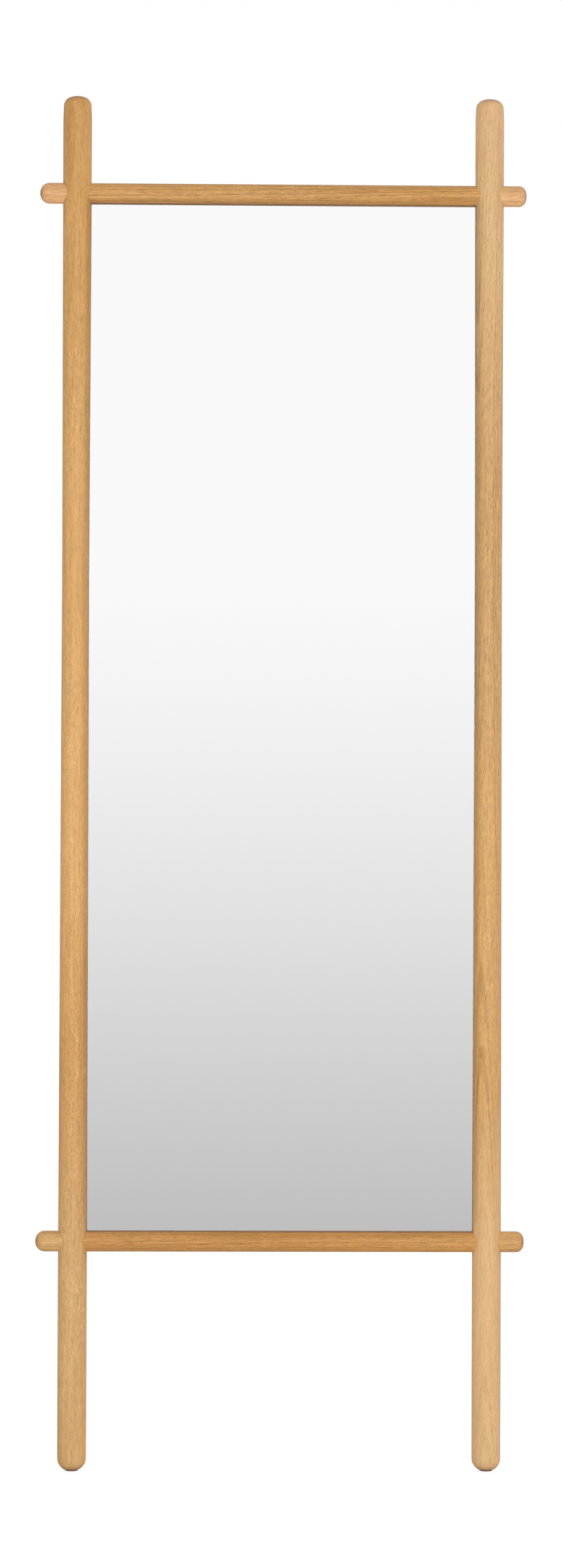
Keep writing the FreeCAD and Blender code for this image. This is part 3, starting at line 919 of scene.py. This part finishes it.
hardboard, tree, shader = new_finish("hardboard")
place = add(tree, "ShaderNodeTexCoord").outputs["Object"]
flakes = streaks(tree, place, (420.0, 420.0, 300.0), 4.0, 0.7).outputs["Fac"]
feeds = {"Vector": place, "Scale": 160.0, "Detail": 5.0, "Roughness": 0.75, "Distortion": 2.5}
hairs = add(tree, "ShaderNodeTexNoise", feeds).outputs["Fac"]
patches = streaks(tree, place, (4.0, 4.0, 3.0), 3.0).outputs["Fac"]
flake_mask = ramp_up(tree, flakes, 0.3, 0.7)
board = mixed(tree, flake_mask, (0.2, 0.115, 0.065, 1.0), (0.31, 0.19, 0.115, 1.0))
hair_mask = reckon(tree, "MULTIPLY", ramp_up(tree, hairs, 0.5, 0.72), 0.5)
board = mixed(tree, hair_mask, board, (0.13, 0.07, 0.038, 1.0))
patch_mask = reckon(tree, "MULTIPLY", ramp_up(tree, patches, 0.4, 0.7), 0.35)
board = mixed(tree, patch_mask, board, (0.34, 0.22, 0.14, 1.0))
tree.links.new(board, shader.inputs["Base Color"])
tree.links.new(reckon(tree, "MULTIPLY_ADD", flakes, 0.25, 0.5), shader.inputs["Roughness"])
emboss(tree, shader, flakes, 0.35, 0.0001)
dress(["back_panel"], hardboard)

# Zinc plating: a bluish bloom over bright steel, with fine scratches that run round about
plated_steel, given, result = new_effect(
    "plated steel",
    {"Place": "vector", "Bright": (0.66, 0.68, 0.7, 1.0), "Bloom": (0.5, 0.54, 0.58, 1.0)},
    SURFACE,
)
tree = plated_steel
cloud = streaks(tree, given["Place"], (350.0, 350.0, 350.0), 3.0, 0.6).outputs["Fac"]
scratch = streaks(tree, given["Place"], (5000.0, 700.0, 1200.0), 2.0, 0.6).outputs["Fac"]
bloom = ramp_up(tree, cloud, 0.35, 0.65)
steel = mixed(tree, bloom, given["Bright"], given["Bloom"])
dull = reckon(tree, "MULTIPLY", ramp_up(tree, scratch, 0.55, 0.7), 0.35)
steel = mixed(tree, dull, steel, (0.4, 0.4, 0.4, 1.0))
matt = reckon(tree, "MULTIPLY_ADD", bloom, 0.14, 0.26)
matt = reckon(tree, "MULTIPLY_ADD", dull, 0.3, matt)
give(tree, result, Color=steel, Roughness=matt, Height=scratch)


def plated(name, bright, bloom):
    """Zinc-plated steel of a given shade."""
    made, tree, shader = new_finish(name)
    place = add(tree, "ShaderNodeTexCoord").outputs["Object"]
    steel = add(tree, "ShaderNodeGroup", {"Place": place}, node_tree=plated_steel)
    steel.inputs["Bright"].default_value = bright
    steel.inputs["Bloom"].default_value = bloom
    shader.inputs["Metallic"].default_value = 1.0
    wear(tree, shader, steel, 0.2, 0.00003)
    return made


# A screw's point: the part of the shank left for it and its length, as shank radii, and how
# far it narrows
POINT_ROOM, POINT_LENGTH, POINT_END = 2.0, 1.7, 0.15
# How far a cross recess narrows towards its foot
RECESS_NARROWS = 0.45
DOWN = Vector((0.0, 0.0, -1.0))


def extrude_end(towards, steps, centre=(0, 0, 0)):
    """Extrudes the selected end face by steps of distance and scale."""
    for distance, scale in steps:
        move = Vector(towards) * distance
        centre = Vector(centre) + move
        bpy.ops.mesh.extrude_region_move(TRANSFORM_OT_translate={"value": move})
        bpy.ops.transform.resize(value=(scale,) * 3, center_override=centre)


def cross_recess(span, width, top, depth):
    """The two tapered blades of a cross-head bit, points down."""
    blades = []
    for half_x, half_y in ((span / 2, width / 2), (width / 2, span / 2)):
        blade = new_block((-half_x, -half_y, top - depth), (half_x, half_y, top + depth))
        select_faces(blade, lambda face: face.normal.z < -FACES_THAT_WAY)
        foot = (0, 0, top - depth)
        narrowed = (RECESS_NARROWS, RECESS_NARROWS, 1)
        bpy.ops.transform.resize(value=narrowed, center_override=foot)
        bpy.ops.object.mode_set(mode="OBJECT")
        blades.append(blade)
    return blades


def pan_screw(head_radius, rise, shank_radius, length):
    """A pan-head screw, head up, with its seat on the plane Z = 0."""
    screw = new_bar(head_radius, (0, 0, 0), (0, 0, rise), HEAD_SIDES)
    select_end(screw, DOWN)
    bpy.ops.mesh.inset(thickness=head_radius - shank_radius)
    steps = [
        (length - POINT_ROOM * shank_radius, 1.0),
        (POINT_LENGTH * shank_radius, POINT_END),
    ]
    extrude_end(DOWN, steps)
    bpy.ops.object.mode_set(mode="OBJECT")
    select_end(screw, -DOWN)
    bpy.ops.mesh.bevel(offset=rise * 0.65, segments=5, affect="EDGES")
    bpy.ops.object.mode_set(mode="OBJECT")
    blades = cross_recess(head_radius * 1.15, head_radius * 0.32, rise, rise * 0.7)
    cut_away(screw, blades)
    throw_away(blades)
    return screw


def drive_home(screw, places, turn_head, name, node_name, finish):
    """Copies a screw to its places, each turned by chance, and joins them as one piece."""
    chance = random.Random(name)
    copies = []
    for place in places:
        only(screw)
        bpy.ops.object.duplicate()
        copy = bpy.context.object
        spin = Matrix.Rotation(chance.uniform(0, math.pi), 4, "Z")
        copy.matrix_world = Matrix.Translation(place) @ turn_head @ spin
        bpy.ops.object.transform_apply()
        copies.append(copy)
    driven = join_up(copies)
    throw_away([screw])
    finish_mesh(driven, name)
    coat(driven, finish)
    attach(driven, "frame")
    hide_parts(node_name)


HEAD_BACKWARDS = Matrix.Rotation(-math.pi / 2, 4, "X")
zinc_screws = plated("zinc-plated screws", (0.66, 0.68, 0.7, 1.0), (0.5, 0.54, 0.58, 1.0))
drive_home(
    pan_screw(head_radius=0.0028, rise=0.0018, shank_radius=0.00145, length=0.012),
    [(x, PANEL_BACK, z) for x, z in screw_places],
    HEAD_BACKWARDS,
    "back_panel_screws_driven",
    "back_panel_screws",
    zinc_screws,
)


# Feet
#
# A round glide of dark moulded plastic sits under each post. One zinc-plated countersunk
# screw holds it, driven up into the post, and its rim is rubbed pale by the floor.

HEAD_DOWN = Matrix.Rotation(math.pi, 4, "X")
FOOT_SCREW_SUNK = 0.0003
COUNTERSUNK_RIM = 0.0002
FOOT_RECESS_DEPTH = 0.0014


def countersunk_screw(head_radius, shank_radius, length):
    """A countersunk screw, head up, with its flat top on the plane Z = 0."""
    screw = new_bar(head_radius, (0, 0, -COUNTERSUNK_RIM), (0, 0, 0), HEAD_SIDES)
    select_end(screw, DOWN)
    taper = head_radius - shank_radius
    steps = [
        (taper, shank_radius / head_radius),
        (length - taper - POINT_ROOM * shank_radius, 1.0),
        (POINT_LENGTH * shank_radius, POINT_END),
    ]
    extrude_end(DOWN, steps, (0, 0, -COUNTERSUNK_RIM))
    bpy.ops.object.mode_set(mode="OBJECT")
    blades = cross_recess(head_radius * 1.1, head_radius * 0.3, 0.0, FOOT_RECESS_DEPTH)
    cut_away(screw, blades)
    throw_away(blades)
    return screw


dark_glides = moulded(
    "dark plastic", (0.045, 0.03, 0.022, 1.0), (0.2, 0.17, 0.14, 1.0), rubbed_below=0.0006
)
dress(["left_foot_glide", "right_foot_glide"], dark_glides)
for side_name, side in SIDES.items():
    drive_home(
        countersunk_screw(head_radius=0.00275, shank_radius=0.00135, length=0.0176),
        [(side * POST_X, 0, FOOT_SCREW_SUNK)],
        HEAD_DOWN,
        f"{side_name}_foot_screw_driven",
        f"{side_name}_foot_screw",
        zinc_screws,
    )


# Wall bumpers
#
# A soft grey rubber disc, moulded with a rounded rim, is let into a round seat bored in the
# back of each post. It keeps the oak off the wall that the mirror leans on.

soft_rubber = moulded("soft rubber", (0.27, 0.26, 0.24, 1.0), (0.42, 0.41, 0.38, 1.0))
dress(["left_wall_bumper", "right_wall_bumper"], soft_rubber)


# Tie hangers
#
# A strap of zinc-plated sheet, rolled round a wire ring, sits on the flat behind each
# post. Two pan-head screws hold it, and the ring swings up to take a tie to the wall.

STRAP_THICKNESS = 0.001

hanger_zinc = plated("zinc-plated hangers", (0.68, 0.67, 0.63, 1.0), (0.55, 0.56, 0.55, 1.0))
for side_name, side in SIDES.items():
    dress([f"{side_name}_hanger_strap", f"{side_name}_hanger_ring"], hanger_zinc)
    drive_home(
        pan_screw(head_radius=0.0031, rise=0.0018, shank_radius=0.00155, length=0.015),
        [(side * POST_X, HANGER_SEAT + STRAP_THICKNESS, z) for z in HANGER_SCREW_HEIGHTS],
        HEAD_BACKWARDS,
        f"{side_name}_hanger_screws_driven",
        f"{side_name}_hanger_screws",
        zinc_screws,
    )


# Floor, light and camera
#
# A plain pale studio: a white floor, a white backdrop that lights the object's sides from
# behind, and two tall soft lamps either side of the camera. The mirror shows the bare room
# in front of it, which greys towards the floor.

# What the mirror shows brightens smoothly with the height looked at, in degrees
ROOM_RISES = (-12.0, 6.25)
ROOM_RISES_FROM, ROOM_RISES_TO = 0.359, 0.975
ROOM_DARKEST, ROOM_BRIGHTEST = 0.49, 0.947
MIRROR_TAKES = 0.97
# What the metal and the oil behind the mirror catch of the room
ROOM_BEHIND = (0.8, 0.8, 0.8, 1.0)
# How much light comes from the room, from in front, from beside and from straight behind
FRONT_LEVEL = 0.33
BACKDROP_LEVEL = 1.5
BEHIND_LEVEL = 0.6
BRIGHTER_RIGHTWARDS = 0.3
WHITE = (1.0, 1.0, 1.0, 1.0)

world = bpy.data.worlds.new("studio")
bpy.context.scene.world = world
world.use_nodes = True
tree = world.node_tree
background = tree.nodes["Background"]
looking = add(tree, "ShaderNodeTexCoord").outputs["Generated"]
looking = add(tree, "ShaderNodeSeparateXYZ", {0: looking}).outputs
height = reckon(tree, "DEGREES", reckon(tree, "ARCSINE", looking["Z"]))
room = ramp_up(
    tree, height, *ROOM_RISES, ROOM_RISES_FROM / MIRROR_TAKES, ROOM_RISES_TO / MIRROR_TAKES
)
room = reckon(tree, "MINIMUM", room, ROOM_BRIGHTEST / MIRROR_TAKES)
room = reckon(tree, "MAXIMUM", room, ROOM_DARKEST / MIRROR_TAKES)
behind = ramp_up(tree, looking["Y"], -0.1, 0.4)
room = mixed(tree, behind, room, ROOM_BEHIND)
backdrop = ramp_up(tree, looking["Y"], -0.2, 0.5, FRONT_LEVEL, BACKDROP_LEVEL)
farther = ramp_up(tree, looking["Y"], 0.45, 0.95, 0.0, BACKDROP_LEVEL - BEHIND_LEVEL)
backdrop = reckon(tree, "SUBTRACT", backdrop, farther)
rightwards = reckon(tree, "MULTIPLY_ADD", looking["X"], BRIGHTER_RIGHTWARDS, 1.0)
backdrop = reckon(tree, "MULTIPLY", backdrop, rightwards)
backdrop = add(tree, "ShaderNodeCombineXYZ", {0: backdrop, 1: backdrop, 2: backdrop}).outputs[0]
rays_of = add(tree, "ShaderNodeLightPath").outputs
straight = reckon(tree, "SUBTRACT", 1.0, reckon(tree, "MINIMUM", rays_of["Diffuse Depth"], 1.0))
mirrored = reckon(tree, "MULTIPLY", rays_of["Is Glossy Ray"], straight)
shown = mixed(tree, mirrored, backdrop, room)
bright = reckon(tree, "MAXIMUM", rays_of["Is Camera Ray"], rays_of["Is Transmission Ray"])
shown = mixed(tree, bright, shown, WHITE)
tree.links.new(shown, background.inputs["Color"])

FLOOR_RADIUS = 2.9
FLOOR_SIDES = 96
FLOOR_PAINT = (0.7, 0.7, 0.7, 1.0)
FLOOR_ROUGHNESS = 0.9
# Within this distance of the frame the seen floor takes its shade, lifted to near white
FLOOR_SHADED = (0.35, 0.9)
FLOOR_CATCHES = (0.5, 0.5, 0.5, 1.0)
FLOOR_LIFT = 0.72

bpy.ops.object.select_all(action="DESELECT")
bpy.ops.mesh.primitive_circle_add(vertices=FLOOR_SIDES, radius=FLOOR_RADIUS, fill_type="NGON")
floor = bpy.context.object
floor.name = "studio_floor"
floor_paint, tree, shader = new_finish("studio floor")
floor.data.materials.append(floor_paint)
shader.inputs["Base Color"].default_value = FLOOR_PAINT
shader.inputs["Roughness"].default_value = FLOOR_ROUGHNESS
shader.inputs["Specular IOR Level"].default_value = 0.0
spot = add(tree, "ShaderNodeTexCoord").outputs["Object"]
away = add(tree, "ShaderNodeVectorMath", {0: spot}, operation="LENGTH").outputs["Value"]
near = ramp_up(tree, away, *FLOOR_SHADED, 1.0, 0.0)
rays_of = add(tree, "ShaderNodeLightPath").outputs
caught = add(tree, "ShaderNodeBsdfDiffuse", {"Color": FLOOR_CATCHES}).outputs[0]
lift = add(tree, "ShaderNodeEmission", {"Strength": FLOOR_LIFT}).outputs[0]
caught = add(tree, "ShaderNodeAddShader", {0: caught, 1: lift}).outputs[0]
white = add(tree, "ShaderNodeEmission", {"Strength": 1.0}).outputs[0]
seen = add(tree, "ShaderNodeMixShader", {0: near, 1: white, 2: caught}).outputs[0]
grey = ROOM_DARKEST / MIRROR_TAKES
reflected = add(tree, "ShaderNodeEmission", {"Color": (grey, grey, grey, 1.0)}).outputs[0]
feeds = {0: rays_of["Is Camera Ray"], 1: shader.outputs[0], 2: seen}
base = add(tree, "ShaderNodeMixShader", feeds).outputs[0]
feeds = {0: rays_of["Is Glossy Ray"], 1: base, 2: reflected}
base = add(tree, "ShaderNodeMixShader", feeds).outputs[0]
tree.links.new(base, tree.nodes["Material Output"].inputs["Surface"])

LAMP_PLACES = {"left": (-1.0, -4.2, 1.1), "right": (1.05, -4.2, 1.1)}
LAMP_POWER = 58.0
LAMP_WIDTH, LAMP_HEIGHT = 0.8, 1.9
LAMPS_AIM_AT = Vector((0.0, 0.0, 0.95))
for side_name, place in LAMP_PLACES.items():
    light = bpy.data.lights.new(f"{side_name} lamp", "AREA")
    light.shape = "RECTANGLE"
    light.size, light.size_y = LAMP_WIDTH, LAMP_HEIGHT
    light.energy = LAMP_POWER
    lamp = bpy.data.objects.new(f"{side_name} lamp", light)
    bpy.context.scene.collection.objects.link(lamp)
    lamp.location = place
    lamp.rotation_euler = (LAMPS_AIM_AT - lamp.location).to_track_quat("-Z", "Y").to_euler()
    lamp.visible_camera = False

CAMERA_PLACE = (-0.1002, -5.0, 0.8383)
CAMERA_YAW, CAMERA_PITCH, CAMERA_ROLL = (math.radians(a) for a in (-1.141, 0.853, 0.22))
CAMERA_LENS = 86.13
FARTHEST_SEEN = 100.0
camera_data = bpy.data.cameras.new("camera")
camera_data.lens = CAMERA_LENS
camera_data.clip_end = FARTHEST_SEEN
camera = bpy.data.objects.new("camera", camera_data)
bpy.context.scene.collection.objects.link(camera)
turned = Euler((math.pi / 2 + CAMERA_PITCH, 0.0, CAMERA_YAW)).to_matrix()
turned = turned @ Matrix.Rotation(CAMERA_ROLL, 3, "Z")
camera.location = CAMERA_PLACE
camera.rotation_euler = turned.to_euler()
bpy.context.scene.camera = camera
bpy.context.scene.view_settings.view_transform = "Standard"
